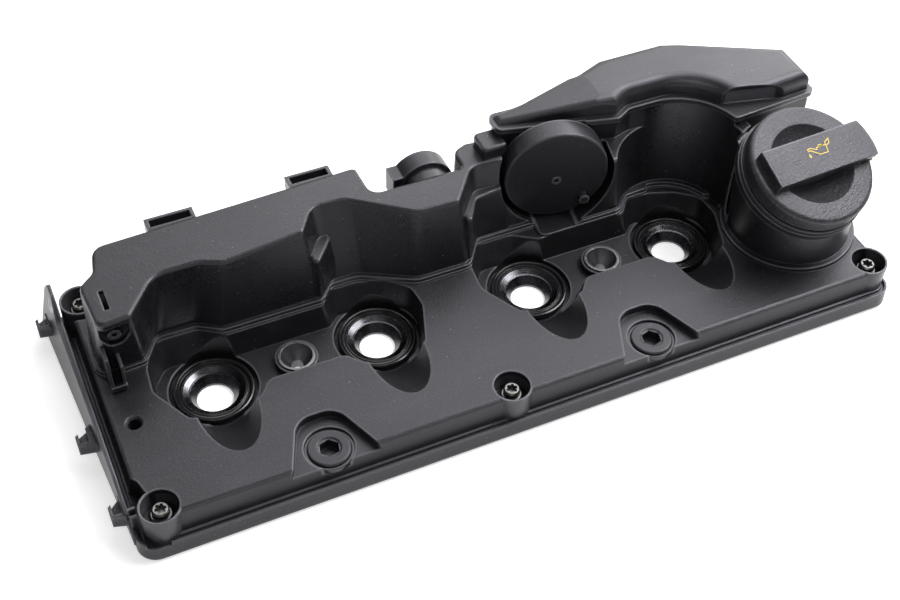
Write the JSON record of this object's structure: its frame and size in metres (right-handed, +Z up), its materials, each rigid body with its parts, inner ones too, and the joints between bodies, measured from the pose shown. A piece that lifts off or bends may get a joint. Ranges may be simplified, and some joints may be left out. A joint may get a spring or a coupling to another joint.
{
  "type": "engine valve cover",
  "caption": "Moulded valve cover with injector seals, oil filler neck and cap, built-in oil separator, pressure regulator and breather port.",
  "frame": {"origin": "axis of the first injector opening at the gasket plane", "axes": "+X along the engine past the other injectors, +Y to the rear with the separator, +Z up out of the engine"},
  "size_m": [0.4295, 0.163, 0.09],
  "materials": {
    "cover_plastic": "fine matte grain, glass filled",
    "housing_plastic": "fine matte grain, glass filled",
    "lid_plastic": "fine matte grain",
    "insert_plastic": "plain moulded",
    "gasket_rubber": "smooth moulded",
    "seal_rubber": "smooth, slightly shiny",
    "ring_rubber": "smooth",
    "valve_rubber": "smooth",
    "grommet_rubber": "smooth",
    "cap_ring_rubber": "smooth",
    "diaphragm_rubber": "smooth",
    "insert_steel": "drawn, dark oiled",
    "bush_aluminium": "machined",
    "plug_plastic": "smooth",
    "screw_steel": "bright zinc",
    "sleeve_steel": "plain",
    "cap_plastic": "sandy matte grain",
    "plug_insert_plastic": "plain moulded",
    "regulator_plastic": "satin",
    "plate_plastic": "plain moulded",
    "spring_steel": "plain wire",
    "collar_plastic": "plain moulded"
  },
  "bodies": {
    "cover": {"cover_body": "cover_plastic", "perimeter_gasket": "gasket_rubber", "separator_housing": "housing_plastic", "separator_lid": "lid_plastic", "labyrinth_left": "insert_plastic", "labyrinth_right": "insert_plastic", "drain_valve_1": "valve_rubber", "drain_valve_2": "valve_rubber", "injector_seal_1": "seal_rubber", "injector_seal_insert_1": "insert_steel", "injector_seal_2": "seal_rubber", "injector_seal_insert_2": "insert_steel", "injector_seal_3": "seal_rubber", "injector_seal_insert_3": "insert_steel", "injector_seal_4": "seal_rubber", "injector_seal_insert_4": "insert_steel", "clamp_bolt_bush_1": "bush_aluminium", "screw_plug_1": "plug_plastic", "plug_o_ring_1": "ring_rubber", "clamp_bolt_bush_2": "bush_aluminium", "screw_plug_2": "plug_plastic", "plug_o_ring_2": "ring_rubber", "captive_screws": "screw_steel", "screw_sleeves": "sleeve_steel", "screw_grommets": "grommet_rubber", "regulator_cover": "regulator_plastic", "regulator_diaphragm": "diaphragm_rubber", "regulator_spring": "spring_steel", "breather_collar": "collar_plastic"},
    "cap_ring": {"cap_seal_ring": "cap_ring_rubber"},
    "cap": {"oil_filler_cap": "cap_plastic", "cap_plug": "plug_insert_plastic"},
    "regulator_valve": {"regulator_plate": "plate_plastic"}
  },
  "joints": [
    {"name": "cap_lift", "type": "slide", "parent": "cover", "child": "cap_ring", "axis": [0.051, -0.3629, 0.9304], "range_m": [0, 0.06]},
    {"name": "cap_turn", "type": "hinge", "parent": "cap_ring", "child": "cap", "pos_m": [0.3205, -0.0258, 0.0617], "axis": [0.051, -0.3629, 0.9304], "range_deg": [0, 90]},
    {"name": "regulator_stroke", "type": "slide", "parent": "cover", "child": "regulator_valve", "axis": [0.2147, 0.9767, 0], "range_m": [0, 0.003], "stiffness_N_per_m": 300, "deforming": ["regulator_spring"]}
  ]
}
